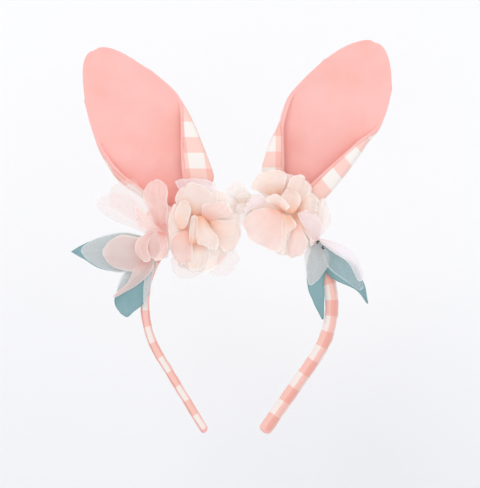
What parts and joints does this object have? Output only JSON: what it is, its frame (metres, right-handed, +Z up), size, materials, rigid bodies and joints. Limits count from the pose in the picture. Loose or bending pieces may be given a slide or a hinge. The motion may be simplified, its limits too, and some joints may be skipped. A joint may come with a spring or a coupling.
{
  "type": "rabbit ears headband",
  "caption": "Costume headband with folded rabbit ears in pink and gingham cotton, chiffon flowers and leaves; its springy legs flex and its ears fold.",
  "frame": {"origin": "centre of the round crown's inner face, half way across the band's width", "axes": "+Z up towards the ears as worn, +X to the right seen from the front, +Y to the back of the head"},
  "size_m": [0.1919, 0.0274, 0.239],
  "materials": {
    "core_plastic": "smooth",
    "gingham_cotton": "woven check",
    "pink_cotton": "plain weave",
    "interlining": "felted",
    "felt": "felted",
    "peach_chiffon": "sheer",
    "cream_chiffon": "sheer",
    "teal_chiffon": "sheer",
    "grey_organza": "sheer",
    "rose_organza": "sheer",
    "pale_organza": "sheer"
  },
  "bodies": {
    "crown": {"crown_core": "core_plastic", "crown_sleeve": "gingham_cotton", "ear_left_foot": "gingham_cotton", "ear_right_foot": "gingham_cotton", "felt_pad_left": "felt", "felt_pad_right": "felt", "felt_pad_middle": "felt", "felt_pad_rose": "felt", "felt_pad_leaves": "felt", "peony_left_outer_petals": "peach_chiffon", "peony_left_middle_petals": "peach_chiffon", "peony_left_inner_petals": "peach_chiffon", "peony_left_tuft": "peach_chiffon", "peony_right_outer_petals": "peach_chiffon", "peony_right_middle_petals": "peach_chiffon", "peony_right_inner_petals": "peach_chiffon", "peony_right_tuft": "peach_chiffon", "blossom_outer_petals": "cream_chiffon", "blossom_inner_petals": "cream_chiffon", "blossom_tuft": "cream_chiffon", "leaf_left_upper": "teal_chiffon", "leaf_left_lower": "teal_chiffon", "leaf_right_inner": "teal_chiffon", "leaf_right_outer": "teal_chiffon", "organza_leaf_left": "grey_organza", "organza_leaf_inner": "grey_organza", "organza_leaf_outer": "grey_organza", "organza_far_left": "pale_organza", "organza_far_right": "pale_organza", "organza_low_left": "pale_organza", "organza_low_right": "pale_organza", "organza_top_left": "pale_organza", "organza_right": "pale_organza", "rose_petal_low": "rose_organza", "rose_petal_wide": "rose_organza", "rose_petal_corner": "rose_organza", "rose_petal_loop": "rose_organza", "rose_petal_top": "rose_organza"},
    "leg_left": {"leg_core_left": "core_plastic", "leg_sleeve_left": "gingham_cotton"},
    "leg_right": {"leg_core_right": "core_plastic", "leg_sleeve_right": "gingham_cotton"},
    "ear_left": {"ear_left_front_panel": "pink_cotton", "ear_left_stiffener": "interlining", "ear_left_back_panel": "gingham_cotton"},
    "ear_right": {"ear_right_front_panel": "pink_cotton", "ear_right_stiffener": "interlining", "ear_right_back_panel": "gingham_cotton"}
  },
  "joints": [
    {"name": "leg_left_flex", "type": "hinge", "parent": "crown", "child": "leg_left", "pos_m": [-0.04834, 0, 0.0302], "axis": [0, 1, 0], "range_deg": [-5, 18], "stiffness_Nm_per_rad": 0.3},
    {"name": "leg_right_flex", "type": "hinge", "parent": "crown", "child": "leg_right", "pos_m": [0.04834, 0, 0.0302], "axis": [0, -1, 0], "range_deg": [-5, 18], "stiffness_Nm_per_rad": 0.3},
    {"name": "ear_left_fold", "type": "hinge", "parent": "crown", "child": "ear_left", "pos_m": [-0.03045, 0, 0.05274], "axis": [-0.866, 0, -0.5], "range_deg": [-8, 50]},
    {"name": "ear_right_fold", "type": "hinge", "parent": "crown", "child": "ear_right", "pos_m": [0.03045, 0, 0.05274], "axis": [-0.866, 0, 0.5], "range_deg": [-8, 50]}
  ]
}
